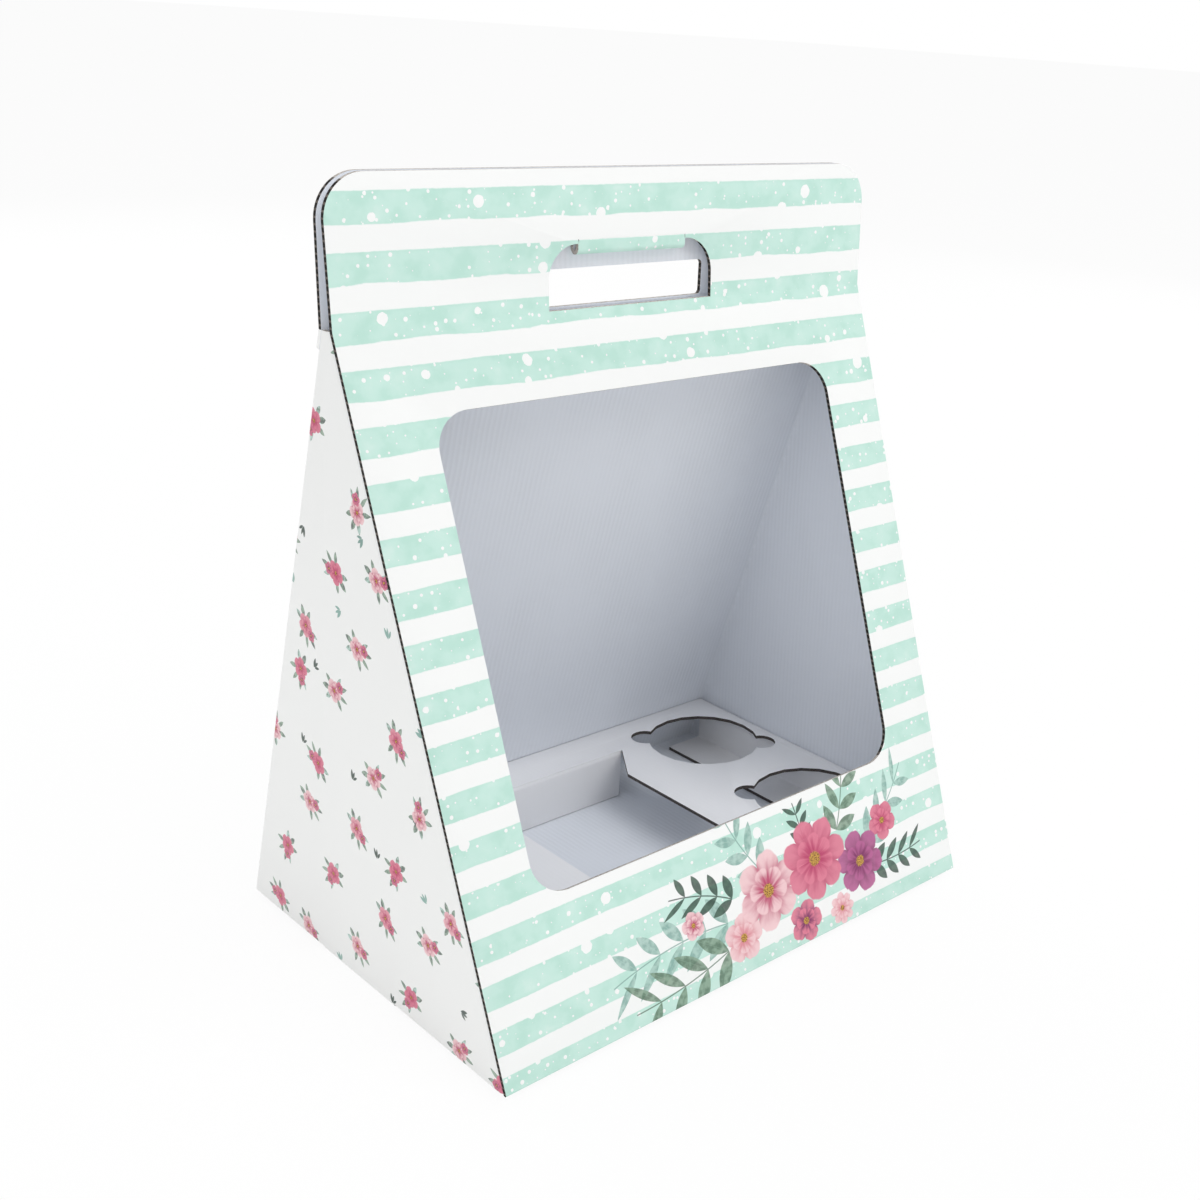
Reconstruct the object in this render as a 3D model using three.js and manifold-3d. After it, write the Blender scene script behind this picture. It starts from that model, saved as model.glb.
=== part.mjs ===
// A tent-shaped cupcake box, folded from thin corrugated board.
// Millimetres, +Z up. The windowed front faces -Y, and the box stands on the tabs of its side panels.
import * as THREE from "three";
import { mergeVertices } from "three/addons/utils/BufferGeometryUtils.js";
import Module from "manifold-3d";

const wasm = await Module();
wasm.setup();

// Driving sizes
const BOARD = 1.5; // thickness of the corrugated board
const PLAY = 0.3; // room between two faces of board that lie together
const WIDTH = 230; // over the side panels
const DEPTH = 170; // over the front and back folds at the foot
const CREASE_RISE = 232.2; // from the base's underside to the crease where the side panels end
const CREASE_THICK = 8; // front face to back face at that crease
const HANDLE_RISE = 45.3; // from the crease to the top edge
const TOP_THICK = 5.1; // front face to back face at the top edge
const TOP_CORNER = 14; // radius of the panels' top corners
const FOLD = 1.5; // radius of a fold, along the middle of the board
const BOX_FOOT_RADIUS = 2.2; // outside of the fold between back panel and base

// Handle opening: one with a flap in the front panel, and a plain slot behind it in the back panel
const GRIP_WIDTH = 72;
const GRIP_HEIGHT = 21;
const GRIP_CORNER = 12; // radius of its two top corners, the lower two are square
const GRIP_RISE = 0.5; // its lower edge above the crease
const GRIP_TRIM = 0.5; // what the grip flap is smaller than its opening, all round
const TUCK_BEND = 1.35; // radius of the flap's turn, along the middle of the board
const TUCK_DROP = 1.6; // how far below the top of the opening the turn starts
const SLOT_WIDTH = 73;
const SLOT_HEIGHT = 12.4;
const SLOT_CORNER = 1.7;

// Window, measured up the slope of the front panel from the foot
const WINDOW_WIDTH = 176;
const WINDOW_LOW = 58.2;
const WINDOW_HIGH = 218.8;
const WINDOW_CORNER = 13;

// Side panels
const TUCK_FLAP = 22; // width of the flap that stands behind the front panel
const LOCK_TAB_REACH = 28; // how far a lock tab lies under the base
const LOCK_TAB_FRONT = -17;
const LOCK_TAB_BACK = 31;

// Insert
const DECK_HEIGHT = 22.3; // top of the deck above the top of the base
const FOOT_FLANGE = 20; // width of the flange under each side of the deck
const HOLE_RADIUS = 25.3;
const HOLE_X = 82;
const HOLE_Y = 34.5;
const HOLE_SHIFT = 5; // the four holes lie this far behind the middle of the box
const EAR_RADIUS = 6.5; // finger notch on the rim of a hole
const EAR_CENTRE = 26.5; // its centre from the hole's centre
const EAR_ANGLE = 137; // direction of the first notch, the second lies opposite
const WELL_HALF_WIDTH = 33; // the opening in the middle of the deck
const WELL_HALF_DEPTH = 54;
const WELL_CREASE_HALF = 46; // half length of the creases in front of and behind it
const WELL_SHOULDER = 34; // where the opening starts to widen towards its creases
const PROP_TAPER = 2.3; // how much narrower a prop flap's foot is, at each end

// Places that follow from the sizes
const lockTabTop = BOARD;
const baseUnder = lockTabTop + PLAY;
const baseTop = baseUnder + BOARD;
const creaseZ = baseUnder + CREASE_RISE;
const topZ = creaseZ + HANDLE_RISE;
const lean = Math.atan((DEPTH - CREASE_THICK) / 2 / CREASE_RISE);
const handleLean = Math.atan((CREASE_THICK - TOP_THICK) / 2 / HANDLE_RISE);
const boardInPlan = BOARD / Math.cos(lean);
const playInPlan = PLAY / Math.cos(lean);
const hingeZ = baseUnder + BOARD / 2;
const gripTop = creaseZ + GRIP_RISE + GRIP_HEIGHT;

const X = new THREE.Vector3(1, 0, 0);
const Y = new THREE.Vector3(0, 1, 0);
const Z = new THREE.Vector3(0, 0, 1);

// Half the box's thickness over the outer faces, at a height below the crease.
const outerHalf = (z) => THREE.MathUtils.lerp(DEPTH / 2, CREASE_THICK / 2, (z - baseUnder) / CREASE_RISE);
// The same for the middle of the board, at any height.
function middleHalf(z) {
  if (z <= creaseZ) return outerHalf(z) - boardInPlan / 2;
  const share = (z - creaseZ) / HANDLE_RISE;
  const atCrease = outerHalf(creaseZ) - boardInPlan / 2;
  return THREE.MathUtils.lerp(atCrease, TOP_THICK / 2 - BOARD / 2, share);
}

// Solids: three.js shapes the board, manifold joins and cuts it.
function solid(geometry) {
  const bare = new THREE.BufferGeometry().setAttribute("position", geometry.getAttribute("position"));
  const index = geometry.index;
  const loose = index ? bare.setIndex(index).toNonIndexed() : bare;
  const merged = mergeVertices(loose, 1e-4);
  return new wasm.Manifold(
    new wasm.Mesh({
      numProp: 3,
      vertProperties: new Float32Array(merged.attributes.position.array),
      triVerts: new Uint32Array(merged.index.array),
    }),
  );
}

// A solid as a named mesh with its board's own finish.
function meshOf(name, body, color, roughness) {
  const made = body.getMesh();
  const geometry = new THREE.BufferGeometry()
    .setAttribute("position", new THREE.BufferAttribute(made.vertProperties, 3))
    .setIndex(new THREE.BufferAttribute(made.triVerts, 1));
  geometry.computeVertexNormals();
  const mesh = new THREE.Mesh(geometry, new THREE.MeshStandardMaterial({ color, roughness, metalness: 0 }));
  mesh.name = name;
  return mesh;
}

// A shape extruded along the third axis and laid in the plane of the first two.
function extruded(shape, depth, across, up, origin) {
  const geometry = new THREE.ExtrudeGeometry(shape, { depth, bevelEnabled: false, curveSegments: 10 });
  const out = new THREE.Vector3().crossVectors(across, up);
  const place = new THREE.Matrix4().makeBasis(across, up, out).setPosition(origin);
  return solid(geometry.applyMatrix4(place));
}

// A section in the YZ plane, extruded along X about the middle of the box.
const alongX = (shape, width) => extruded(shape, width, Y, Z, new THREE.Vector3(-width / 2, 0, 0));
// A section in the XZ plane, extruded along Y between two places.
const alongY = (shape, from, to) => extruded(shape, to - from, X, Z, new THREE.Vector3(0, to, 0));
// A shape in plan, extruded upwards.
const alongZ = (shape, from, to) => extruded(shape, to - from, X, Y, new THREE.Vector3(0, 0, from));

// Points with each inner corner rounded to a radius.
function softened(points, radius, steps = 5) {
  const path = [points[0]];
  for (let i = 1; i < points.length - 1; i++) {
    const before = points[i - 1].clone().sub(points[i]).normalize();
    const after = points[i + 1].clone().sub(points[i]).normalize();
    const half = before.angleTo(after) / 2;
    const middle = before.clone().add(after).normalize();
    const centre = points[i].clone().addScaledVector(middle, radius / Math.sin(half));
    const start = points[i].clone().addScaledVector(before, radius / Math.tan(half)).sub(centre);
    const turn = Math.PI - 2 * half;
    const sense = Math.sign(before.x * after.y - before.y * after.x) * -1;
    for (let k = 0; k <= steps; k++) {
      const spoke = start.clone().rotateAround(new THREE.Vector2(), (sense * turn * k) / steps);
      path.push(centre.clone().add(spoke));
    }
  }
  path.push(points[points.length - 1]);
  return path;
}

// The outline of board that follows a path along its middle, as a closed list of points.
function boardOutline(path, thickness = BOARD) {
  const left = [];
  const right = [];
  path.forEach((point, i) => {
    const inward = i > 0 ? point.clone().sub(path[i - 1]).normalize() : null;
    const outward = i < path.length - 1 ? path[i + 1].clone().sub(point).normalize() : null;
    const a = inward ?? outward;
    const b = outward ?? inward;
    const along = a.clone().add(b).normalize();
    const reach = thickness / 2 / Math.max(along.dot(a), 0.3);
    const aside = new THREE.Vector2(-along.y, along.x).multiplyScalar(reach);
    left.push(point.clone().add(aside));
    right.push(point.clone().sub(aside));
  });
  return right.concat(left.reverse());
}

const boardShape = (path) => new THREE.Shape(boardOutline(path));

// The solid between two closed outlines of equally many points, at two heights.
function loft(lower, lowerZ, upper, upperZ) {
  const count = lower.length;
  const positions = [];
  lower.forEach((p) => positions.push(p.x, p.y, lowerZ));
  upper.forEach((p) => positions.push(p.x, p.y, upperZ));
  const index = [];
  for (let i = 0; i < count; i++) {
    const next = (i + 1) % count;
    index.push(i, next, count + next, i, count + next, count + i);
  }
  THREE.ShapeUtils.triangulateShape(lower, []).forEach(([a, b, c]) => {
    index.push(c, b, a);
    index.push(count + a, count + b, count + c);
  });
  const geometry = new THREE.BufferGeometry()
    .setAttribute("position", new THREE.Float32BufferAttribute(positions, 3))
    .setIndex(index);
  return solid(geometry);
}

function roundedRectangle(left, low, right, high, radius) {
  const shape = new THREE.Shape();
  shape.moveTo(left + radius, low);
  shape.lineTo(right - radius, low);
  shape.absarc(right - radius, low + radius, radius, -Math.PI / 2, 0);
  shape.absarc(right - radius, high - radius, radius, 0, Math.PI / 2);
  shape.absarc(left + radius, high - radius, radius, Math.PI / 2, Math.PI);
  shape.absarc(left + radius, low + radius, radius, Math.PI, Math.PI * 1.5);
  return shape;
}

// The front panel's grip opening: square below, round above.
function gripShape() {
  const half = GRIP_WIDTH / 2;
  const low = creaseZ + GRIP_RISE;
  const shape = new THREE.Shape();
  shape.moveTo(-half, low);
  shape.lineTo(half, low);
  shape.absarc(half - GRIP_CORNER, gripTop - GRIP_CORNER, GRIP_CORNER, 0, Math.PI / 2);
  shape.absarc(-half + GRIP_CORNER, gripTop - GRIP_CORNER, GRIP_CORNER, Math.PI / 2, Math.PI);
  return shape;
}

// The back panel's slot, lower than the opening in front of it.
function slotShape() {
  const low = creaseZ + GRIP_RISE;
  return roundedRectangle(-SLOT_WIDTH / 2, low, SLOT_WIDTH / 2, low + SLOT_HEIGHT, SLOT_CORNER);
}

// What the rounded top corners of a handle panel leave.
function handleEnvelope() {
  const shape = new THREE.Shape();
  const half = WIDTH / 2;
  const low = creaseZ / 2;
  shape.moveTo(-half, low);
  shape.lineTo(half, low);
  shape.absarc(half - TOP_CORNER, topZ - TOP_CORNER, TOP_CORNER, 0, Math.PI / 2);
  shape.absarc(-half + TOP_CORNER, topZ - TOP_CORNER, TOP_CORNER, Math.PI / 2, Math.PI);
  return shape;
}

const throughWall = (shape) => alongY(shape, -DEPTH, DEPTH);

// Side panels, the flaps in front of them and the back panel, in plan at one height.
// The outline is drawn as seen along the slope, so that each panel gets the board's true thickness.
function shellOutline(z) {
  const half = WIDTH / 2 - BOARD / 2;
  const back = middleHalf(z) * Math.cos(lean);
  const front = -(middleHalf(z) - boardInPlan - playInPlan) * Math.cos(lean);
  const corners = [
    new THREE.Vector2(-WIDTH / 2 + TUCK_FLAP, front),
    new THREE.Vector2(-half, front),
    new THREE.Vector2(-half, back),
    new THREE.Vector2(half, back),
    new THREE.Vector2(half, front),
    new THREE.Vector2(WIDTH / 2 - TUCK_FLAP, front),
  ];
  return boardOutline(softened(corners, FOLD)).map((p) => new THREE.Vector2(p.x, p.y / Math.cos(lean)));
}

// Everything above the base with the fold at the back of the foot rounded.
function footEnvelope() {
  const shape = new THREE.Shape();
  const back = DEPTH / 2;
  shape.moveTo(-back, baseUnder);
  shape.lineTo(back - BOX_FOOT_RADIUS, baseUnder);
  shape.quadraticCurveTo(back, baseUnder, outerHalf(baseUnder + BOX_FOOT_RADIUS), baseUnder + BOX_FOOT_RADIUS);
  shape.lineTo(outerHalf(creaseZ), creaseZ);
  shape.lineTo(-outerHalf(creaseZ), creaseZ);
  return shape;
}

function lockTab(side) {
  const outside = side * (WIDTH / 2 - BOARD / 2);
  const path = [
    new THREE.Vector2(outside, baseTop),
    new THREE.Vector2(outside, BOARD / 2),
    new THREE.Vector2(side * (WIDTH / 2 - LOCK_TAB_REACH), BOARD / 2),
  ];
  const outline = boardOutline(softened(path, FOLD / 2 + PLAY));
  if (side > 0) outline.reverse();
  return alongY(new THREE.Shape(outline), LOCK_TAB_FRONT, LOCK_TAB_BACK);
}

// The upper part of a panel that leans by its lower part until the crease.
function handlePanel(side) {
  const start = creaseZ - 4 * BOARD;
  const path = [start, creaseZ, topZ].map((z) => new THREE.Vector2(side * middleHalf(z), z));
  return alongX(boardShape(path), WIDTH).intersect(throughWall(handleEnvelope()));
}

function carrierBody() {
  const shell = loft(shellOutline(baseUnder), baseUnder, shellOutline(creaseZ), creaseZ);
  const baseHalf = WIDTH / 2 - BOARD - PLAY;
  const baseFront = -middleHalf(hingeZ) + BOARD / 2 + 2 * PLAY;
  const base = new THREE.Shape();
  base.moveTo(baseFront, baseUnder);
  base.lineTo(outerHalf(baseUnder) - BOARD, baseUnder);
  base.lineTo(outerHalf(baseUnder) - BOARD, baseTop);
  base.lineTo(baseFront, baseTop);
  const foot = shell.add(alongX(base, 2 * baseHalf)).intersect(alongX(footEnvelope(), WIDTH));
  const slot = throughWall(slotShape());
  return foot.add(handlePanel(1)).subtract(slot).add(lockTab(-1)).add(lockTab(1));
}

// The front grip flap: turned in over the upper edge of the opening and pushed up between the panels.
function tuckedGripFlap() {
  const panel = -middleHalf(gripTop);
  const centre = new THREE.Vector2(panel + TUCK_BEND, gripTop - TUCK_DROP);
  const turn = [];
  for (let k = 0; k <= 10; k++) {
    const angle = Math.PI + (Math.PI * k) / 10;
    turn.push(centre.clone().add(new THREE.Vector2(Math.cos(angle), Math.sin(angle)).multiplyScalar(TUCK_BEND)));
  }
  turn.unshift(new THREE.Vector2(panel, gripTop + BOARD));
  const legTop = gripTop + GRIP_HEIGHT - 2 * TUCK_DROP - GRIP_TRIM - Math.PI * TUCK_BEND;
  turn.push(new THREE.Vector2(panel + 2 * TUCK_BEND, legTop));
  const creaseHalf = GRIP_WIDTH / 2 - GRIP_CORNER - GRIP_TRIM;
  const bend = alongX(boardShape(turn), 2 * creaseHalf);
  const inner = panel + 2 * TUCK_BEND - BOARD / 2;
  return bend.add(alongY(foldedUpShape(legTop), inner, inner + BOARD));
}

// The grip opening's outline turned upside down over its top edge, as the tucked flap stands.
function foldedUpShape(legTop) {
  const half = GRIP_WIDTH / 2 - GRIP_TRIM;
  const shape = new THREE.Shape();
  shape.moveTo(half, legTop);
  shape.lineTo(-half, legTop);
  shape.absarc(-half + GRIP_CORNER, gripTop + GRIP_CORNER, GRIP_CORNER, Math.PI, Math.PI * 1.5);
  shape.absarc(half - GRIP_CORNER, gripTop + GRIP_CORNER, GRIP_CORNER, -Math.PI / 2, 0);
  return shape;
}

function windowCutter() {
  const across = X;
  const up = new THREE.Vector3(0, Math.sin(lean), Math.cos(lean));
  const out = new THREE.Vector3().crossVectors(across, up);
  const foot = new THREE.Vector3(0, -DEPTH / 2, baseUnder).addScaledVector(out, -5 * BOARD);
  const half = WINDOW_WIDTH / 2;
  const opening = roundedRectangle(-half, WINDOW_LOW, half, WINDOW_HIGH, WINDOW_CORNER);
  return extruded(opening, 10 * BOARD, across, up, foot);
}

// The lid: foot fold, window, crease and handle in one panel. Its foot is round, so that it turns in place.
function frontPanel() {
  const path = [hingeZ, creaseZ, topZ].map((z) => new THREE.Vector2(-middleHalf(z), z));
  const whole = alongX(boardShape(path), WIDTH);
  const belowCrease = new THREE.Shape([
    new THREE.Vector2(-DEPTH, -DEPTH),
    new THREE.Vector2(DEPTH, -DEPTH),
    new THREE.Vector2(DEPTH, creaseZ),
    new THREE.Vector2(-DEPTH, creaseZ),
  ]);
  const foot = new THREE.Shape().absarc(-middleHalf(hingeZ), hingeZ, BOARD / 2, 0, 2 * Math.PI);
  const lower = whole.intersect(alongX(belowCrease, WIDTH)).add(alongX(foot, WIDTH));
  const handle = whole.intersect(throughWall(handleEnvelope()));
  const grip = throughWall(gripShape());
  return lower.add(handle).subtract(grip).subtract(windowCutter()).add(tuckedGripFlap());
}

function cupcakeHole(x, y) {
  const round = new THREE.Shape().absarc(x, y, HOLE_RADIUS, 0, 2 * Math.PI);
  const angle = THREE.MathUtils.degToRad(EAR_ANGLE);
  const ears = [0, Math.PI].map((turn) => {
    const ear = new THREE.Vector2(Math.cos(angle + turn), Math.sin(angle + turn)).multiplyScalar(EAR_CENTRE);
    return new THREE.Shape().absarc(x + ear.x, y + ear.y, EAR_RADIUS, 0, 2 * Math.PI);
  });
  return [round, ...ears].map((s) => alongZ(s, baseTop + BOARD, creaseZ)).reduce((a, b) => a.add(b));
}

function wellShape() {
  const points = [
    [-WELL_CREASE_HALF, -WELL_HALF_DEPTH],
    [WELL_CREASE_HALF, -WELL_HALF_DEPTH],
    [WELL_HALF_WIDTH, -WELL_SHOULDER],
    [WELL_HALF_WIDTH, WELL_SHOULDER],
    [WELL_CREASE_HALF, WELL_HALF_DEPTH],
    [-WELL_CREASE_HALF, WELL_HALF_DEPTH],
    [-WELL_HALF_WIDTH, WELL_SHOULDER],
    [-WELL_HALF_WIDTH, -WELL_SHOULDER],
  ];
  return new THREE.Shape(points.map(([x, y]) => new THREE.Vector2(x, y)));
}

// A flap folded straight down at one end of the well, standing on the base.
function propFlap(side, deckMiddle, standing) {
  const path = [
    new THREE.Vector2(side * (WELL_HALF_DEPTH + 4 * BOARD), deckMiddle),
    new THREE.Vector2(side * WELL_HALF_DEPTH, deckMiddle),
    new THREE.Vector2(side * WELL_HALF_DEPTH, standing),
  ];
  const outline = boardOutline(softened(path, FOLD));
  const section = new THREE.Shape(outline);
  const face = new THREE.Shape([
    new THREE.Vector2(-WELL_CREASE_HALF + PROP_TAPER, 0),
    new THREE.Vector2(WELL_CREASE_HALF - PROP_TAPER, 0),
    new THREE.Vector2(WELL_CREASE_HALF, 2 * DECK_HEIGHT),
    new THREE.Vector2(-WELL_CREASE_HALF, 2 * DECK_HEIGHT),
  ]);
  return alongX(section, 2 * WELL_CREASE_HALF).intersect(throughWall(face));
}

function cupcakeInsert() {
  const standing = baseTop + PLAY;
  const flangeMiddle = standing + BOARD / 2;
  const deckMiddle = baseTop + DECK_HEIGHT - BOARD / 2;
  const side = WIDTH / 2 - BOARD - PLAY - BOARD / 2;
  const path = [
    new THREE.Vector2(-side + FOOT_FLANGE, flangeMiddle),
    new THREE.Vector2(-side, flangeMiddle),
    new THREE.Vector2(-side, deckMiddle),
    new THREE.Vector2(side, deckMiddle),
    new THREE.Vector2(side, flangeMiddle),
    new THREE.Vector2(side - FOOT_FLANGE, flangeMiddle),
  ];
  const deckTop = baseTop + DECK_HEIGHT;
  const back = outerHalf(deckTop) - boardInPlan - playInPlan;
  const front = -(back - boardInPlan - playInPlan);
  const sheet = alongY(boardShape(softened(path, FOLD)), front, back);
  const well = alongZ(wellShape(), baseTop + BOARD, creaseZ);
  const holes = [-HOLE_X, HOLE_X].flatMap((x) => [-HOLE_Y, HOLE_Y].map((y) => cupcakeHole(x, y + HOLE_SHIFT)));
  const opened = [well, ...holes].reduce((body, cutter) => body.subtract(cutter), sheet);
  return opened.add(propFlap(1, deckMiddle, standing)).add(propFlap(-1, deckMiddle, standing));
}

const box = new THREE.Group();
box.name = "cupcake_box";
box.add(meshOf("carrier_body", carrierBody(), 0xf0f1f1, 0.6));
box.add(meshOf("front_panel", frontPanel(), 0xd9efe8, 0.55));
box.add(meshOf("cupcake_insert", cupcakeInsert(), 0xd6d6d8, 0.72));
// The origin lies under the middle of the box, at the height where it stands.
const bounds = new THREE.Box3().setFromObject(box);
box.position.set(0, -(bounds.min.y + bounds.max.y) / 2, -bounds.min.z);
export default box;
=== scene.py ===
"""A tent-shaped cupcake box of printed micro-flute board, dressed around its CAD frame.

Metres, +Z up. The windowed front faces -Y. Print is laid out in millimetres on each panel.
"""

import math

import bpy
from mathutils import Matrix, Vector


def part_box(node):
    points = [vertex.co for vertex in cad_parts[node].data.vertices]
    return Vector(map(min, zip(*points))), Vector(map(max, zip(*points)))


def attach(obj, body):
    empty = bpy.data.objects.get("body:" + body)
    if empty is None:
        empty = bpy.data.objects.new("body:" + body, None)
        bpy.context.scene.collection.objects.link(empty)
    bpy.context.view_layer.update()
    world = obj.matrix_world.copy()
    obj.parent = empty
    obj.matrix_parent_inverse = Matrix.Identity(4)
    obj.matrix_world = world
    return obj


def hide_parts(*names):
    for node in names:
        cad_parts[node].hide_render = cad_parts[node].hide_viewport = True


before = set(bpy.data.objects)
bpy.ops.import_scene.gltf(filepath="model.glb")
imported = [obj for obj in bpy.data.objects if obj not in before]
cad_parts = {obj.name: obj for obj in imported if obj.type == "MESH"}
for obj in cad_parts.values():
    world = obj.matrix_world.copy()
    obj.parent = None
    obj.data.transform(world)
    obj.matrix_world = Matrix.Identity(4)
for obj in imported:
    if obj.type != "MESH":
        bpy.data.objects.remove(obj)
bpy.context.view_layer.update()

MM = 0.001

# The folds of the box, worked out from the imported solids
BODY_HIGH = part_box("carrier_body")[1]
LID_LOW, LID_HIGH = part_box("front_panel")
INSERT_LOW, INSERT_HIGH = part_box("cupcake_insert")
BOARD = 1.5 * MM
HALF_WIDTH = BODY_HIGH.x
BASE_UNDER = LID_LOW.z
BASE_TOP = BASE_UNDER + BOARD
TOP_Z = LID_HIGH.z
CREASE_Z = TOP_Z - 45.3 * MM
DEPTH = 170 * MM
CREASE_THICK = 8 * MM
TOP_THICK = 5.1 * MM
LEAN = math.atan((DEPTH - CREASE_THICK) / 2 / (CREASE_Z - BASE_UNDER))
HANDLE_LEAN = math.atan((CREASE_THICK - TOP_THICK) / 2 / (TOP_Z - CREASE_Z))
GRIP_TOP = CREASE_Z + 21.5 * MM
GRIP_PANEL_Y = -2.41 * MM
TUCK_BEND = 1.35 * MM
TUCK_DROP = 1.6 * MM
WELL_HALF_DEPTH = 54 * MM
WELL_CREASE_HALF = 46 * MM

# How a solid's copy is cleaned, and how its raw edges and liners are finished
MERGE = 0.03 * MM
FLAT_ANGLE = math.radians(0.4)
ARC_DEPTH = 0.4 * MM
CORE_INSET = 0.24 * MM
CORE_DEPTH = 0.2 * MM
EDGE_ROUND = 0.1 * MM
SHARP_ANGLE = math.radians(35)
SMOOTH_ANGLE = math.radians(32)

# How far from a fold or an edge a face still belongs to a panel
HAIR = 0.05 * MM
SIDE_REACH = 2.2 * MM
LEG_REACH = 2.4 * MM
PROP_REACH = 2.0 * MM
TURN_ROOM = 5 * MM
TURN_REACH = 24 * MM
TURN_FRONT = -4 * MM
TUCK_REACH = 36 * MM

# How much of a face's normal lies along an axis
ALONG = 0.9
MOSTLY = 0.7
SLANTED = 0.6
HALFWAY = 0.5
FACING = 0.25
BARELY = 0.1

# The photograph's camera, solved from the box's edges in its 1200 x 1200 frame
PHOTO_SIDE = 1200
FOCAL_PIXELS = 1495.5
OPTICAL_CENTRE = (800, 700)
CAMERA_AT = Vector((-0.34074, -0.41331, 0.32407))
CAMERA_YAW = 0.82034
CAMERA_PITCH = 0.41919
CAMERA_ROLL = 0.068937
SENSOR = 36.0
NEAR_CLIP = 0.01

# Relief of the paper in metres, and the steps of its noise per millimetre
PRINT_RELIEF = 0.00004
LINER_RELIEF = 0.00005
DECK_RELIEF = 0.00001
CUT_RELIEF = 0.0002
FIBRE = 2.4
COCKLE = 0.12
POOL = 0.11
SCUFF = 0.05

# Roughness of the papers and the cuts
PRINT_ROUGHNESS = 0.5
SCUFF_ROUGHNESS = 0.12
LINER_ROUGHNESS = 0.72
PALE_CUT_ROUGHNESS = 0.85
CUT_ROUGHNESS = 0.9
FLOOR_ROUGHNESS = 0.9

# Flute spacing of the board, how its lines show as painted shade, and the stripe layout of the front
# print
FLUTE = 2.2
LINER_LINES = 0.13
DECK_LINES = 0.03
LINE_SHADE = 0.6
STRIPE_TOP = 281.3
STRIPE_PITCH = 16.39
STRIPE_LAST = 17
STRIPE_SQUEEZE = 0.0033
STRIPE_HALF = 0.268
STRIPE_SOFT = 0.014
PANEL_TO_CREASE = (CREASE_Z - BASE_UNDER) / math.cos(LEAN) / MM


def linear(red, green, blue):
    """A colour of 8-bit sRGB parts as the linear colour that a shader takes."""
    parts = [c / 255 for c in (red, green, blue)]
    return tuple(c / 12.92 if c <= 0.04045 else ((c + 0.055) / 1.055) ** 2.4 for c in parts) + (1.0,)


WHITE = (1.0, 1.0, 1.0, 1.0)
FLOOR_WHITE = (0.97, 0.97, 0.97, 1.0)
PAPER_WHITE = linear(251, 252, 251)
BLANK_SHADE = linear(244, 245, 244)
MINT = linear(203, 237, 226)
MINT_DEEP = linear(192, 231, 218)
MINT_PALE = linear(214, 241, 232)
INSIDE_GREY = linear(236, 240, 247)
DECK_GREY = linear(249, 249, 251)
# Raw edges: painted shade in the flute hollows, and the flute paper's tone, darkened in part as painted
# shade; the insert's edge in its own painted shade
FLUTE_HOLLOW_SHADE = linear(34, 30, 28)
CORE_LIGHT = linear(112, 104, 98)
SHADED_CORE = linear(74, 68, 66)
CUT_PAPER = linear(206, 200, 194)
CUT_LINE = linear(150, 140, 130)
PINK = linear(226, 128, 152)
PINK_DEEP = linear(190, 66, 108)
BLUSH = linear(247, 208, 212)
BLUSH_DEEP = linear(224, 140, 152)
MAUVE = linear(186, 98, 150)
MAUVE_DEEP = linear(128, 44, 98)
OCHRE = linear(214, 168, 74)
SEED_BROWN = linear(120, 72, 40)
SAGE = linear(140, 168, 146)
SAGE_DEEP = linear(92, 122, 100)
MIST = linear(176, 208, 198)
MIST_DEEP = linear(134, 176, 166)
PINE = linear(64, 96, 78)
PINE_DEEP = linear(38, 66, 54)

# Each softbox's name, place, side in metres and power in watts
SOFTBOXES = (
    ("key_softbox", (0.45, -1.25, 1.85), 1.6, 17.5),
    ("left_softbox", (-1.6, -0.3, 0.9), 1.4, 4.6),
    ("right_softbox", (1.6, 0.4, 0.9), 1.4, 5.0),
    ("back_softbox", (0.2, 1.7, 1.1), 1.6, 9.0),
)
SOFTBOX_TARGET = Vector((0, 0, 0.12))
ROOM_LIGHT = 0.58
FLOOR_SIDE = 80
FLOOR_GLOW = 0.92

# Places of the outputs that are read on nodes with several
OBJECT_OUTPUT = 3
COLOUR_OUTPUT = 2


class Sock:
    """A shader socket that takes part in Python arithmetic."""

    def __init__(self, graph, socket):
        self.graph = graph
        self.socket = socket

    def __add__(self, other):
        return self.graph.math("ADD", self, other)

    def __sub__(self, other):
        return self.graph.math("SUBTRACT", self, other)

    def __rsub__(self, other):
        return self.graph.math("SUBTRACT", other, self)

    def __mul__(self, other):
        return self.graph.math("MULTIPLY", self, other)

    def __pow__(self, other):
        return self.graph.math("POWER", self, other)

    __radd__ = __add__
    __rmul__ = __mul__


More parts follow.
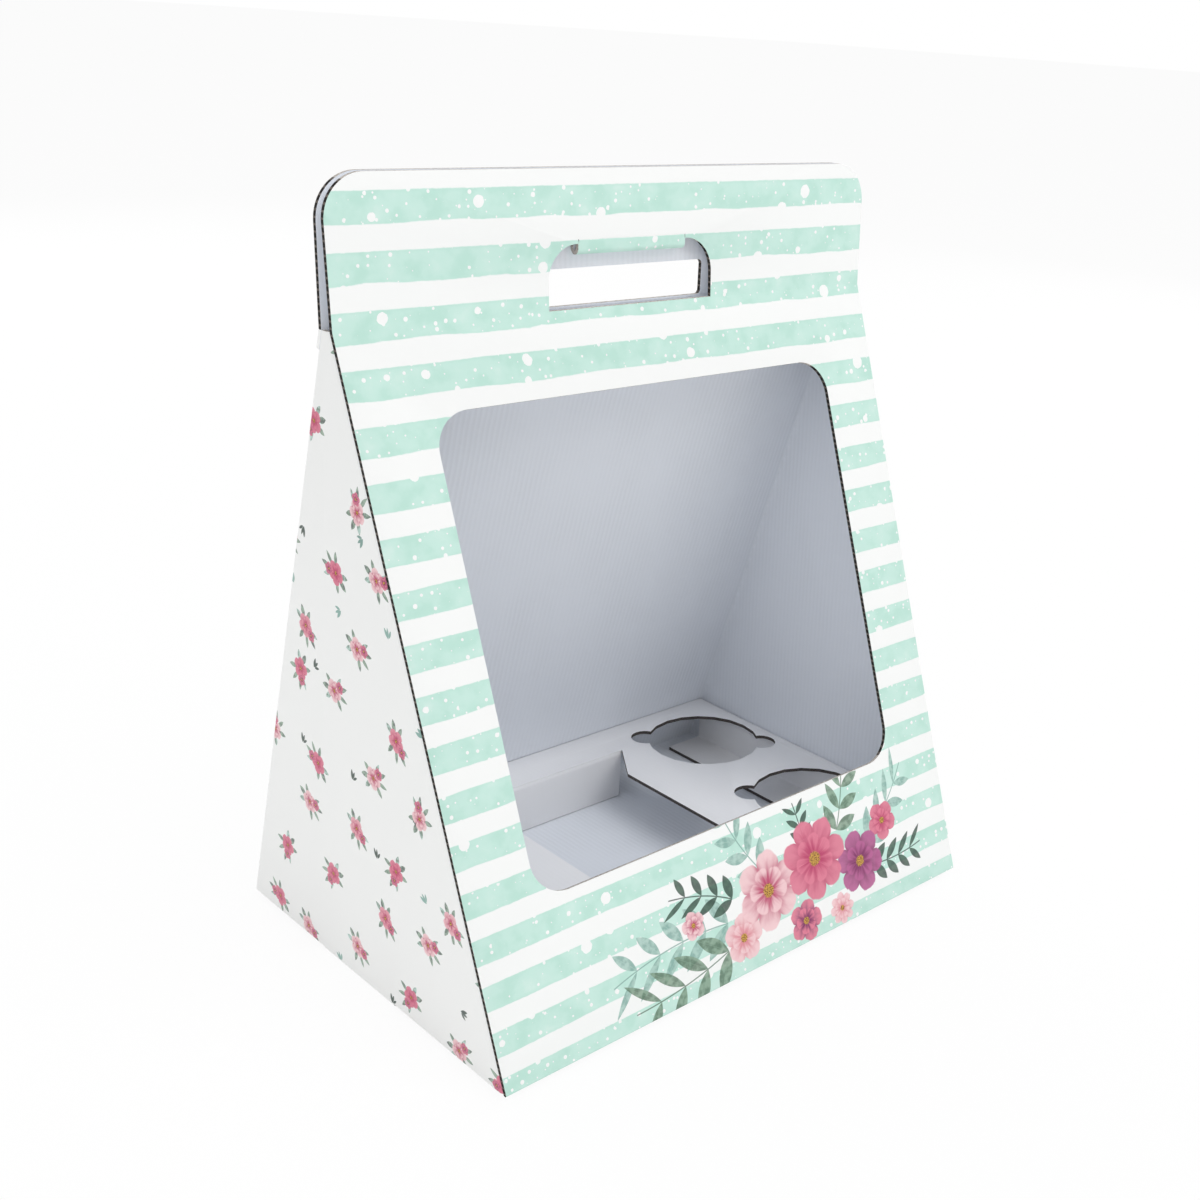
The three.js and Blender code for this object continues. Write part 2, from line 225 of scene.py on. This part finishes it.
class Graph:
    """The node tree of one material."""

    def __init__(self, name):
        self.material = bpy.data.materials.new(name)
        self.material.use_nodes = True
        self.tree = self.material.node_tree
        self.shader = self.tree.nodes["Principled BSDF"]

    def node(self, kind, settings=None, output=0, **inputs):
        """A node whose settings come first. An input is named, or numbered as i0, i1 and so on."""
        made = self.tree.nodes.new("ShaderNode" + kind)
        for key, value in (settings or {}).items():
            setattr(made, key, value)
        for key, value in inputs.items():
            numbered = key[0] == "i" and key[1:].isdigit()
            self.feed(made.inputs[int(key[1:]) if numbered else key.replace("_", " ")], value)
        return Sock(self, made.outputs[output])

    def feed(self, socket, value):
        if isinstance(value, Sock):
            self.tree.links.new(value.socket, socket)
        else:
            socket.default_value = value

    def math(self, operation, a, b=0.0):
        return self.node("Math", {"operation": operation}, i0=a, i1=b)

    def smooth(self, value, low, high):
        """0 below low, 1 above high, and a soft step between."""
        settings = {"interpolation_type": "SMOOTHSTEP"}
        return self.node("MapRange", settings, Value=value, From_Min=low, From_Max=high)

    def mix(self, factor, a, b):
        """Colour a where the factor is 0, colour b where it is 1."""
        return self.node("Mix", {"data_type": "RGBA"}, output=COLOUR_OUTPUT, i0=factor, i6=a, i7=b)

    def combine(self, x, y, z=0.0):
        return self.node("CombineXYZ", X=x, Y=y, Z=z)

    def noise(self, vector, detail=2.0):
        return self.node("TexNoise", Vector=vector, Scale=1.0, Detail=detail)

    def position(self):
        """Object coordinates as three sockets, in millimetres."""
        where = self.node("TexCoord", output=OBJECT_OUTPUT)
        parts = self.tree.nodes.new("ShaderNodeSeparateXYZ")
        self.feed(parts.inputs[0], where)
        return [Sock(self, parts.outputs[i]) * (1 / MM) for i in range(3)]

    def bump(self, height, distance):
        normal = self.node("Bump", Height=height, Distance=distance, Strength=1.0)
        self.feed(self.shader.inputs["Normal"], normal)

    def finish(self, colour, roughness):
        self.feed(self.shader.inputs["Base Color"], colour)
        self.feed(self.shader.inputs["Roughness"], roughness)
        return self.material


def paper_grain(graph, x, y, z):
    """Height of the paper's fibres and of the faint cockle over the flutes."""
    fine = graph.noise(graph.combine(x * FIBRE, y * FIBRE, z * FIBRE), 3.0)
    broad = graph.noise(graph.combine(x * COCKLE, y * COCKLE, z * COCKLE), 1.0)
    return fine * 0.35 + broad * 0.9


def slope_height(graph, z):
    """Distance up the front or back panel from its foot, in millimetres."""
    lower = graph.math("MINIMUM", (z - BASE_UNDER / MM) * (1 / math.cos(LEAN)), PANEL_TO_CREASE)
    upper = graph.math("MAXIMUM", (z - CREASE_Z / MM) * (1 / math.cos(HANDLE_LEAN)), 0.0)
    return lower + upper


def washed(graph, u, v, deep, middle, pale):
    """A colour that pools and thins as watercolour does."""
    pools = graph.noise(graph.combine(u * POOL, v * POOL), 3.0)
    dark = graph.mix(graph.smooth(pools, 0.34, 0.56), deep, middle)
    return graph.mix(graph.smooth(pools, 0.55, 0.78), dark, pale)


def stripes(graph, u, v):
    """Hand-painted mint stripes across a panel, with splashes of white over them."""
    step = (STRIPE_TOP - v) * (1 / STRIPE_PITCH)
    step = step - step * (STRIPE_LAST - step) * STRIPE_SQUEEZE
    wobble = graph.noise(graph.combine(u * 0.035, v * 0.13), 3.0) - 0.5
    ragged = graph.noise(graph.combine(u * 0.5, v * 0.5, 3.7), 2.0) - 0.5
    whole = graph.math("FRACT", step + wobble * 0.09 + 0.5)
    off_centre = graph.math("ABSOLUTE", whole - 0.5)
    edge = off_centre + ragged * 0.022 + wobble * 0.05
    inside = 1 - graph.smooth(edge, STRIPE_HALF - STRIPE_SOFT, STRIPE_HALF + STRIPE_SOFT)
    past_last = graph.smooth(step, STRIPE_LAST + 0.4, STRIPE_LAST + 0.6)
    within = graph.smooth(step, -0.62, -0.3) * (1 - past_last)
    mint = washed(graph, u, v, MINT_DEEP, MINT, MINT_PALE)
    rim = graph.smooth(edge, 0.19, STRIPE_HALF) * 0.5
    painted = graph.mix(rim, mint, MINT_DEEP)
    striped = graph.mix(inside * within, PAPER_WHITE, painted)
    fine = splashes(graph, u, v, cell=3.6, largest=0.75, seed=1.3, share=0.42)
    coarse = splashes(graph, u, v, cell=12.0, largest=2.6, seed=8.1, share=0.44)
    return graph.mix(graph.math("MAXIMUM", fine, coarse), striped, PAPER_WHITE)


def splashes(graph, u, v, cell, largest, seed, share):
    """Round drops, one at most in each cell, gathered into loose clusters."""
    warp = graph.noise(graph.combine(u * 0.9, v * 0.9, seed), 1.0) * 0.05
    where = graph.combine(u * (1 / cell) + warp, v * (1 / cell) + warp, seed)
    drops = graph.tree.nodes.new("ShaderNodeTexVoronoi")
    drops.voronoi_dimensions = "2D"
    drops.inputs["Scale"].default_value = 1.0
    graph.feed(drops.inputs["Vector"], where)
    distance = Sock(graph, drops.outputs["Distance"])
    chance = graph.node("SeparateColor", Color=Sock(graph, drops.outputs["Color"]))
    radius = chance ** 2.2 * (largest / cell)
    cluster = graph.noise(graph.combine(u * 0.028, v * 0.028, seed), 2.0)
    gathered = graph.smooth(cluster, share - 0.1, share + 0.02)
    size = radius * gathered
    soft = 0.1 / cell
    return (1 - graph.smooth(distance - size, 0.0, soft)) * graph.smooth(size, 0.0, soft)


def turned(graph, u, v, centre, angle):
    """Coordinates about a centre, turned so that the first runs along the angle."""
    du = u - centre[0]
    dv = v - centre[1]
    c, s = math.cos(angle), math.sin(angle)
    return du * c + dv * s, dv * c - du * s


def blossom(graph, under, u, v, centre, radius, petals, turn, deep, pale, open_heart=0.17):
    """A flat painted flower: an outer and an inner ring of petals around a seeded heart."""
    du, dv = turned(graph, u, v, centre, math.radians(turn))
    far = graph.math("SQRT", du * du + dv * dv) * (1 / radius)
    around = graph.math("ARCTAN2", dv, du)
    streak = graph.noise(graph.combine(around * 3.5, far * 1.6, turn), 2.0)
    colour = under
    for size, shift, shade in ((1.0, 0.0, 0.0), (0.62, math.pi / petals, 0.18)):
        swing = graph.math("COSINE", (around + shift) * (petals / 2))
        lobe = graph.math("ABSOLUTE", swing) ** 0.55
        reach = (lobe * 0.3 + 0.7 + (streak - 0.5) * 0.16) * size
        mask = 1 - graph.smooth(far - reach, -0.03, 0.02)
        tint = graph.smooth(far + (streak - 0.5) * 0.8, 0.12 * size, 0.95 * size)
        petal = graph.mix(tint, deep, pale)
        seam = (1 - graph.smooth(lobe, 0.25, 0.72)) * graph.smooth(far, 0.2 * size, 0.5 * size)
        petal = graph.mix(seam * 0.55 + shade * (1 - tint), petal, deep)
        colour = graph.mix(mask * 0.97, colour, petal)
    heart = 1 - graph.smooth(far + (streak - 0.5) * 0.08, open_heart - 0.03, open_heart + 0.03)
    seeds = graph.smooth(graph.noise(graph.combine(u * 2.2, v * 2.2, turn), 1.0), 0.48, 0.56)
    return graph.mix(heart, colour, graph.mix(seeds, OCHRE, SEED_BROWN))


def spray(graph, under, u, v, start, angle, length, pairs, width, deep, pale, curl):
    """A bowed stem with pairs of pointed leaves."""
    along, across = turned(graph, u, v, start, math.radians(angle))
    across = across - along * along * curl
    pitch = length / pairs
    lean_cos, lean_sin = math.cos(LEAF_LEAN), math.sin(LEAF_LEAN)
    leaf = LEAF_SHARE * pitch / lean_cos
    share = along * (1 / pitch)
    cell = graph.math("FRACT", share) * pitch
    side = graph.math("ABSOLUTE", across)
    run = (cell * lean_cos + side * lean_sin) * (1 / leaf)
    rise = graph.math("ABSOLUTE", side * lean_cos - cell * lean_sin)
    taper = 1 - share * (0.45 / pairs)
    belly = run * (1 - run) * 4 * width * taper
    on_stem = graph.smooth(along, 0.0, 0.4) * (1 - graph.smooth(along, length - 0.4, length))
    blade = graph.smooth(belly - rise, 0.0, 0.22) * on_stem
    stem = (1 - graph.smooth(side, 0.16, 0.34)) * on_stem
    pools = graph.noise(graph.combine(u * 0.35, v * 0.35, angle), 2.0)
    green = graph.mix(graph.smooth(pools, 0.36, 0.64), deep, pale)
    vein = (1 - graph.smooth(rise, 0.06, 0.2)) * 0.45
    green = graph.mix(vein, green, pale)
    painted = graph.mix(blade * 0.92, under, green)
    return graph.mix(stem * 0.85, painted, deep)


# The flower group at the lower right of the front, in millimetres on the panel
GROUP_AT = -15
LEAF_LEAN = math.radians(48)
LEAF_SHARE = 0.97
SPRAYS = (
    # start, angle, length, pairs, leaf half width, colours, curl
    ((4, 22), 172, 54, 5, 3.0, (MIST_DEEP, MIST), 0.004),
    ((2, 12), 196, 46, 4, 3.2, (SAGE_DEEP, SAGE), -0.003),
    ((24, 36), 128, 34, 4, 2.6, (MIST_DEEP, MIST), -0.006),
    ((66, 38), 62, 34, 4, 2.7, (SAGE_DEEP, SAGE), 0.006),
    ((82, 30), 28, 34, 4, 2.5, (MIST_DEEP, MIST), 0.008),
    ((48, 40), 96, 16, 3, 1.8, (PINE_DEEP, PINE), 0.004),
    ((84, 18), -8, 28, 4, 2.3, (PINE_DEEP, PINE), 0.006),
    ((8, 30), 150, 30, 4, 2.2, (PINE_DEEP, PINE), 0.007),
)
BLOSSOMS = (
    # centre, radius, petals, turn, colours
    ((10, 14), 9.5, 5, 10, (BLUSH_DEEP, BLUSH)),
    ((92, 34), 8.0, 5, 50, (PINK_DEEP, PINK)),
    ((26, 27), 15.5, 6, 20, (PINK_DEEP, BLUSH)),
    ((76, 22), 13.0, 6, 44, (MAUVE_DEEP, MAUVE)),
    ((52, 31), 16.5, 7, 5, (PINK_DEEP, PINK)),
    ((42, 9), 8.5, 5, 70, (MAUVE_DEEP, PINK)),
    ((-12, 27), 5.5, 5, 30, (PINK_DEEP, BLUSH)),
    ((62, 7), 6.5, 8, 0, (BLUSH_DEEP, BLUSH)),
)


def front_print():
    """The lid's stripes with the flower group over them."""
    graph = Graph("mint_striped_print")
    x, y, z = graph.position()
    v = slope_height(graph, z)
    colour = stripes(graph, x, v)
    u = x - GROUP_AT
    for start, angle, length, pairs, width, (deep, pale), curl in SPRAYS:
        colour = spray(graph, colour, u, v, start, angle, length, pairs, width, deep, pale, curl)
    for centre, radius, petals, turn, (deep, pale) in BLOSSOMS:
        colour = blossom(graph, colour, u, v, centre, radius, petals, turn, deep, pale)
    return printed(graph, colour, x, y, z)


def back_print():
    """The same stripes alone."""
    graph = Graph("mint_striped_print_back")
    x, y, z = graph.position()
    return printed(graph, stripes(graph, x, slope_height(graph, z)), x, y, z)


def blank_cover():
    """The cover paper where nothing is printed."""
    graph = Graph("blank_cover_paper")
    x, y, z = graph.position()
    clouds = graph.noise(graph.combine(x * SCUFF, y * SCUFF, z * SCUFF), 3.0)
    colour = graph.mix(graph.smooth(clouds, 0.3, 0.7), BLANK_SHADE, PAPER_WHITE)
    return printed(graph, colour, x, y, z)


def printed(graph, colour, x, y, z):
    """The satin of print on smooth board."""
    graph.bump(paper_grain(graph, x, y, z), PRINT_RELIEF)
    scuff = graph.noise(graph.combine(x * SCUFF, y * SCUFF, z * SCUFF), 3.0)
    return graph.finish(colour, scuff * SCUFF_ROUGHNESS + PRINT_ROUGHNESS)


def leaf_mask(graph, a, b, angle, start, length, width):
    """One pointed leaf that grows out from the middle of a motif."""
    c, s = math.cos(math.radians(angle)), math.sin(math.radians(angle))
    run = (a * c + b * s - start) * (1 / length)
    rise = graph.math("ABSOLUTE", b * c - a * s)
    return graph.smooth(run * (1 - run) * 4 * width - rise, 0.0, 0.18)


def scattered(graph, across, up, cell_across, cell_up, offset, jitter):
    """Staggered cells, each with its own jittered and turned coordinates and two chances."""
    row = graph.math("FLOOR", (up + offset) * (1 / cell_up))
    stagger = graph.math("MODULO", row, 2.0) * 0.5
    slot = across * (1 / cell_across) + stagger + offset * 0.1
    column = graph.math("FLOOR", slot)
    dice = graph.tree.nodes.new("ShaderNodeTexWhiteNoise")
    dice.noise_dimensions = "3D"
    graph.feed(dice.inputs["Vector"], graph.combine(column + 0.5, row + 0.5, offset))
    chances = graph.tree.nodes.new("ShaderNodeSeparateColor")
    graph.feed(chances.inputs[0], Sock(graph, dice.outputs["Color"]))
    first, second, third = (Sock(graph, chances.outputs[i]) for i in range(3))
    a = (slot - column - 0.5) * cell_across - (first - 0.5) * jitter
    b = (up + offset) - (row + 0.5) * cell_up - (second - 0.5) * jitter
    angle = third * (2 * math.pi)
    c, s = graph.math("COSINE", angle), graph.math("SINE", angle)
    return a * c + b * s, b * c - a * s, second, third


def side_print():
    """Off-white with small scattered blossoms and leaf sprigs."""
    graph = Graph("scattered_blossom_print")
    x, y, z = graph.position()
    a, b, chance, hue = scattered(graph, y, z, cell_across=33.0, cell_up=29.0, offset=19.0, jitter=13.0)
    sprig = leaf_mask(graph, a, b, 60, 0.0, 4.4, 0.75)
    for angle, length in ((118, 3.4), (86, 3.8)):
        sprig = graph.math("MAXIMUM", sprig, leaf_mask(graph, a, b, angle, 0.4, length, 0.6))
    shown = graph.smooth(chance, 0.2, 0.24)
    green = graph.mix(graph.smooth(hue, 0.6, 0.7), PINE_DEEP, MIST_DEEP)
    colour = graph.mix(sprig * shown * 0.92, PAPER_WHITE, green)
    a, b, _, hue = scattered(graph, y, z, cell_across=31.0, cell_up=25.0, offset=3.0, jitter=11.0)
    pools = graph.smooth(graph.noise(graph.combine(y * 0.6, z * 0.6)), 0.4, 0.6)
    for angle, start, length, width, (deep, pale) in (
        (18, 2.4, 5.6, 0.9, (SAGE_DEEP, MIST)),
        (48, 2.6, 6.4, 1.0, (PINE_DEEP, SAGE)),
        (84, 2.4, 6.0, 0.9, (SAGE_DEEP, SAGE)),
        (126, 2.2, 5.4, 1.0, (PINE, SAGE)),
        (214, 2.4, 4.8, 1.1, (SAGE_DEEP, MIST)),
        (252, 2.4, 5.2, 1.2, (PINE_DEEP, SAGE)),
        (296, 2.4, 4.6, 1.0, (SAGE_DEEP, SAGE)),
    ):
        green = graph.mix(pools, deep, pale)
        leaf = leaf_mask(graph, a, b, angle, start, length, width)
        colour = graph.mix(leaf * 0.85, colour, green)
    rosy = graph.mix(graph.smooth(hue, 0.45, 0.55), BLUSH, PINK)
    for centre, radius, turn, deep, pale, open_heart in (
        ((0, 0), 4.3, 15, PINK_DEEP, rosy, 0.16),
        ((3.4, 2.6), 2.3, 50, MAUVE_DEEP, PINK, 0.2),
    ):
        colour = blossom(graph, colour, a, b, centre, radius, 5, turn, deep, pale, open_heart)
    return printed(graph, colour, x, y, z)


def plain_board(name, colour, wave_axis, relief=LINER_RELIEF, lines=LINER_LINES):
    """Unprinted liner paper, with the flutes showing through as faint lines: a bump, and painted shade
    along the same waves.
    """
    graph = Graph(name)
    x, y, z = graph.position()
    across = {"x": x, "y": y}[wave_axis]
    drift = graph.noise(graph.combine(x * 0.03, y * 0.03, z * 0.03), 2.0)
    wave = graph.math("SINE", (across + drift * 1.6) * (2 * math.pi / FLUTE)) * 0.5 + 0.5
    clouds = graph.noise(graph.combine(x * 0.04, y * 0.04, z * 0.02 + 5), 2.0)
    patch = graph.smooth(clouds, 0.3, 0.7)
    strength = patch * 0.7 + 0.3
    height = wave * strength + paper_grain(graph, x, y, z) * 0.5
    graph.bump(height, relief)
    # The flute lines darken the liner as painted shade
    shade = tuple(c * LINE_SHADE for c in colour[:3]) + (1.0,)
    lined = graph.mix(wave * strength * lines, colour, shade)
    fibre = graph.noise(graph.combine(x * 1.3, y * 1.3, z * 0.5), 3.0)
    toned = graph.mix(graph.smooth(fibre, 0.35, 0.75) * 0.08, lined, PAPER_WHITE)
    return graph.finish(toned, LINER_ROUGHNESS)


def cut_edge():
    """The board's raw edge across the flutes, with painted shade in the hollows between their turns."""
    graph = Graph("raw_flute_edge")
    x, y, z = graph.position()
    turns = graph.math("SINE", (z * (1 / math.cos(LEAN))) * (2 * math.pi / FLUTE)) * 0.5 + 0.5
    torn = graph.noise(graph.combine(x * 1.6, y * 1.6, z * 1.6), 3.0)
    shade = graph.smooth(turns + (torn - 0.5) * 0.8, 0.55, 1.0)
    graph.bump(turns + torn, CUT_RELIEF)
    return graph.finish(graph.mix(shade, FLUTE_HOLLOW_SHADE, CORE_LIGHT), CUT_ROUGHNESS)


def plain_cut():
    """The board's raw edge along the flutes: pale paper with a faint torn line."""
    graph = Graph("raw_paper_edge")
    x, y, z = graph.position()
    torn = graph.noise(graph.combine(x * 0.9, y * 2.6, z * 2.6), 3.0)
    graph.bump(torn, CUT_RELIEF)
    colour = graph.mix(graph.smooth(torn, 0.42, 0.66), CUT_PAPER, CUT_LINE)
    return graph.finish(colour, PALE_CUT_ROUGHNESS)


def insert_cut():
    """The insert's raw edge, which lies in its own shade."""
    graph = Graph("raw_insert_edge")
    x, y, z = graph.position()
    torn = graph.noise(graph.combine(x * 1.2, y * 1.2, z * 3.0), 3.0)
    graph.bump(torn, CUT_RELIEF)
    colour = graph.mix(graph.smooth(torn, 0.4, 0.8), SHADED_CORE, CORE_LIGHT)
    return graph.finish(colour, CUT_ROUGHNESS)


def only(piece):
    """Makes one piece the selected and active object."""
    bpy.ops.object.select_all(action="DESELECT")
    piece.select_set(True)
    bpy.context.view_layer.objects.active = piece


def dressed(node, name, body, kind_of, materials):
    """A copy of a solid's board with its faces sorted by finish, a cut core and softened edges."""
    piece = bpy.data.objects.new(name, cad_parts[node].data.copy())
    bpy.context.scene.collection.objects.link(piece)
    if node == "cupcake_insert":
        level_flanges(piece)
    only(piece)
    bpy.ops.object.mode_set(mode="EDIT")
    bpy.ops.mesh.select_all(action="SELECT")
    bpy.ops.mesh.customdata_custom_splitnormals_clear()
    bpy.ops.mesh.remove_doubles(threshold=MERGE)
    bpy.ops.mesh.dissolve_limited(angle_limit=FLAT_ANGLE)
    if node == "carrier_body":
        bpy.ops.mesh.select_all(action="SELECT")
        bpy.ops.mesh.bisect(plane_co=(0, 0, CREASE_Z), plane_no=(0, 0, 1))
        bpy.ops.mesh.select_all(action="SELECT")
        bpy.ops.mesh.remove_doubles(threshold=MERGE)
    bpy.ops.mesh.select_all(action="DESELECT")
    bpy.ops.object.mode_set(mode="OBJECT")
    piece.data.materials.clear()
    for material in materials:
        piece.data.materials.append(material)
    for face in piece.data.polygons:
        face.material_index = kind_of(face.center, face.normal)
        face.select = face.material_index == EDGE
    carve_core(piece)
    soften(piece)
    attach(piece, body)
    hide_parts(node)


def level_flanges(piece):
    """Fills the shallow arcs that the holes' cut leaves in the flanges on the base."""
    flange_top = INSERT_LOW.z + BOARD
    for vertex in piece.data.vertices:
        if flange_top - ARC_DEPTH < vertex.co.z < flange_top:
            vertex.co.z = flange_top


def carve_core(piece):
    """Sinks the selected raw edges between the board's two liners."""
    bpy.ops.object.mode_set(mode="EDIT")
    bpy.ops.mesh.select_mode(type="FACE")
    bpy.ops.mesh.inset(thickness=CORE_INSET, depth=-CORE_DEPTH, use_even_offset=False)
    bpy.ops.mesh.select_all(action="DESELECT")
    bpy.ops.object.mode_set(mode="OBJECT")


def soften(piece):
    """Rounds the liners' edges and shades each panel flat."""
    bevel = piece.modifiers.new("soft_edges", "BEVEL")
    bevel.width = EDGE_ROUND
    bevel.segments = 2
    bevel.limit_method = "ANGLE"
    bevel.angle_limit = SHARP_ANGLE
    bevel.use_clamp_overlap = True
    only(piece)
    bpy.ops.object.modifier_apply(modifier=bevel.name)
    bpy.ops.object.shade_smooth_by_angle(angle=SMOOTH_ANGLE)


# Slots of the pieces' materials
OUTER, BACK_OUTER, INNER, INNER_SIDE, EDGE, FLAT_CUT, BLANK_OUTER = range(7)
LOWER_FRONT = Vector((0, -math.cos(LEAN), math.sin(LEAN)))
UPPER_FRONT = Vector((0, -1, 0))


def carrier_kind(at, normal):
    """Which finish a face of the folded carrier has."""
    side = 1 if at.x > 0 else -1
    near_side = abs(at.x) > HALF_WIDTH - SIDE_REACH
    if at.z < BASE_UNDER + HAIR:
        return carrier_foot_kind(at, normal, near_side)
    if at.z > CREASE_Z - HAIR or normal.z > ALONG and near_side:
        if abs(normal.y) < SLANTED:
            return EDGE if abs(normal.x) > HALFWAY else FLAT_CUT
        return BACK_OUTER if normal.y > 0 else INNER
    if normal.z > ALONG:
        return INNER
    if abs(normal.x) > MOSTLY:
        if not near_side:
            return EDGE
        return OUTER if normal.x * side > 0 else INNER_SIDE
    if at.z < BASE_TOP + HAIR and normal.y < -ALONG:
        return FLAT_CUT
    outward = normal.dot(Vector((side if near_side else 0, 1 if at.y > 0 else -1, 0)))
    if outward > 0 and abs(normal.x) < HALFWAY:
        return BACK_OUTER if at.y > 0 else BLANK_OUTER
    return OUTER if outward > 0 else INNER


def carrier_foot_kind(at, normal, near_side):
    """The same for the underside and the lock tabs."""
    if at.z > BASE_UNDER - HAIR:
        return FLAT_CUT if near_side else BLANK_OUTER
    if abs(normal.y) > MOSTLY:
        return EDGE
    if abs(normal.x) > ALONG:
        return OUTER if near_side and normal.x * at.x > 0 else FLAT_CUT
    return INNER if normal.z > HALFWAY else BLANK_OUTER


def front_kind(at, normal):
    """Which finish a face of the lid has."""
    above_slot = at.z > GRIP_TOP - TURN_ROOM
    behind = at.y > GRIP_PANEL_Y + BOARD / 2 + HAIR
    if above_slot and behind and abs(at.x) < TUCK_REACH:
        return tucked_kind(at, normal)
    in_turn = at.y > TURN_FRONT and abs(at.x) < TURN_REACH
    if above_slot and in_turn and at.z < GRIP_TOP - HAIR:
        return tucked_kind(at, normal)
    if abs(normal.x) > HALFWAY:
        return EDGE
    facing = normal.dot(LOWER_FRONT if at.z < CREASE_Z else UPPER_FRONT)
    if facing > FACING:
        return OUTER
    if facing < -FACING or at.z < BASE_TOP:
        return INNER if facing < BARELY else OUTER
    return FLAT_CUT


def tucked_kind(at, normal):
    """The same for the grip flap that is turned in: its print goes round the outside of the turn."""
    turn_z = GRIP_TOP - TUCK_DROP
    if abs(normal.x) > HALFWAY:
        return FLAT_CUT
    if at.z > turn_z:
        if abs(normal.y) < HALFWAY:
            return FLAT_CUT
        outside = normal.y < 0 if at.y < GRIP_PANEL_Y + TUCK_BEND else normal.y > 0
        return OUTER if outside else INNER
    centre = Vector((at.x, GRIP_PANEL_Y + TUCK_BEND, turn_z))
    return OUTER if normal.dot(at - centre) > 0 else INNER


def insert_kind(at, normal):
    """Which finish a face of the insert has."""
    on_leg = abs(at.x) > INSERT_HIGH.x - LEG_REACH and abs(normal.y) < HALFWAY
    at_prop = abs(abs(at.y) - WELL_HALF_DEPTH) < PROP_REACH and abs(at.x) < WELL_CREASE_HALF
    on_prop = at_prop and abs(normal.x) < HALFWAY
    if on_leg or on_prop:
        foot_cut = on_prop and normal.z < -MOSTLY and at.z < BASE_TOP + BOARD / 3
        return EDGE if foot_cut else INNER
    return INNER if abs(normal.z) > HALFWAY else EDGE


def softboxes():
    """Even studio light: a high soft key over the front and weaker fills from the other sides."""
    for name, at, size, power in SOFTBOXES:
        light = bpy.data.lights.new(name, "AREA")
        light.size = size
        light.energy = power
        lamp = bpy.data.objects.new(name, light)
        bpy.context.scene.collection.objects.link(lamp)
        lamp.location = at
        aim = SOFTBOX_TARGET - Vector(at)
        lamp.rotation_euler = aim.to_track_quat("-Z", "Y").to_euler()


def white_room():
    """A room that lights evenly and shows plain white to the camera."""
    world = bpy.data.worlds.new("white_room")
    bpy.context.scene.world = world
    world.use_nodes = True
    nodes, links = world.node_tree.nodes, world.node_tree.links
    lit = nodes["Background"]
    lit.inputs["Color"].default_value = WHITE
    lit.inputs["Strength"].default_value = ROOM_LIGHT
    seen = nodes.new("ShaderNodeBackground")
    seen.inputs["Color"].default_value = WHITE
    seen.inputs["Strength"].default_value = 1.0
    path = nodes.new("ShaderNodeLightPath")
    chosen = nodes.new("ShaderNodeMixShader")
    links.new(path.outputs["Is Camera Ray"], chosen.inputs[0])
    links.new(lit.outputs[0], chosen.inputs[1])
    links.new(seen.outputs[0], chosen.inputs[2])
    links.new(chosen.outputs[0], nodes["World Output"].inputs[0])


def floor():
    """A pale floor that keeps the box's shadow."""
    bpy.ops.object.select_all(action="DESELECT")
    bpy.ops.mesh.primitive_plane_add(size=FLOOR_SIDE, location=(0, 0, 0))
    ground = bpy.context.object
    ground.name = "studio_floor"
    graph = Graph("studio_floor_white")
    ground.data.materials.append(graph.finish(FLOOR_WHITE, FLOOR_ROUGHNESS))
    emit = graph.node("Emission", Color=WHITE, Strength=1.0)
    path = graph.tree.nodes.new("ShaderNodeLightPath")
    seen = Sock(graph, path.outputs["Is Camera Ray"])
    for kind in ("Is Glossy Ray", "Is Transmission Ray"):
        seen = graph.math("MAXIMUM", seen, Sock(graph, path.outputs[kind]))
    lit = Sock(graph, graph.shader.outputs[0])
    mixed = graph.node("MixShader", i0=seen * FLOOR_GLOW, i1=lit, i2=emit)
    graph.feed(graph.tree.nodes["Material Output"].inputs["Surface"], mixed)


def photo_camera():
    """The photograph's viewpoint. Its optical centre lies off the middle, so the camera is shifted."""
    data = bpy.data.cameras.new("photo_camera")
    data.sensor_width = SENSOR
    data.lens = FOCAL_PIXELS / PHOTO_SIDE * SENSOR
    data.shift_x = (PHOTO_SIDE / 2 - OPTICAL_CENTRE[0]) / PHOTO_SIDE
    data.shift_y = (OPTICAL_CENTRE[1] - PHOTO_SIDE / 2) / PHOTO_SIDE
    data.clip_start = NEAR_CLIP
    camera = bpy.data.objects.new("photo_camera", data)
    bpy.context.scene.collection.objects.link(camera)
    bpy.context.scene.camera = camera
    yaw = Matrix.Rotation(-CAMERA_YAW, 4, "Z")
    pitch = Matrix.Rotation(math.pi / 2 - CAMERA_PITCH, 4, "X")
    roll = Matrix.Rotation(CAMERA_ROLL, 4, "Z")
    camera.matrix_world = Matrix.Translation(CAMERA_AT) @ yaw @ pitch @ roll


photo_camera()
floor()
white_room()
softboxes()
bpy.context.scene.view_settings.view_transform = "Standard"

stripe_print = front_print()
back_stripes = back_print()
blossom_print = side_print()
inside = plain_board("inside_liner", INSIDE_GREY, "x")
inside_side = plain_board("inside_liner_sides", INSIDE_GREY, "y")
deck_board = plain_board("insert_liner", DECK_GREY, "x", DECK_RELIEF, DECK_LINES)
raw_edge = cut_edge()
pale_cut = plain_cut()

# In the order of the slots above
shared = [inside, inside_side, raw_edge, pale_cut]
carrier_finishes = [blossom_print, back_stripes, *shared, blank_cover()]
lid_finishes = [stripe_print, back_stripes, *shared]
insert_finishes = [deck_board] * 4 + [insert_cut(), pale_cut]
dressed("carrier_body", "folded_carrier", "box", carrier_kind, carrier_finishes)
dressed("front_panel", "window_lid", "lid", front_kind, lid_finishes)
dressed("cupcake_insert", "cake_insert", "box", insert_kind, insert_finishes)
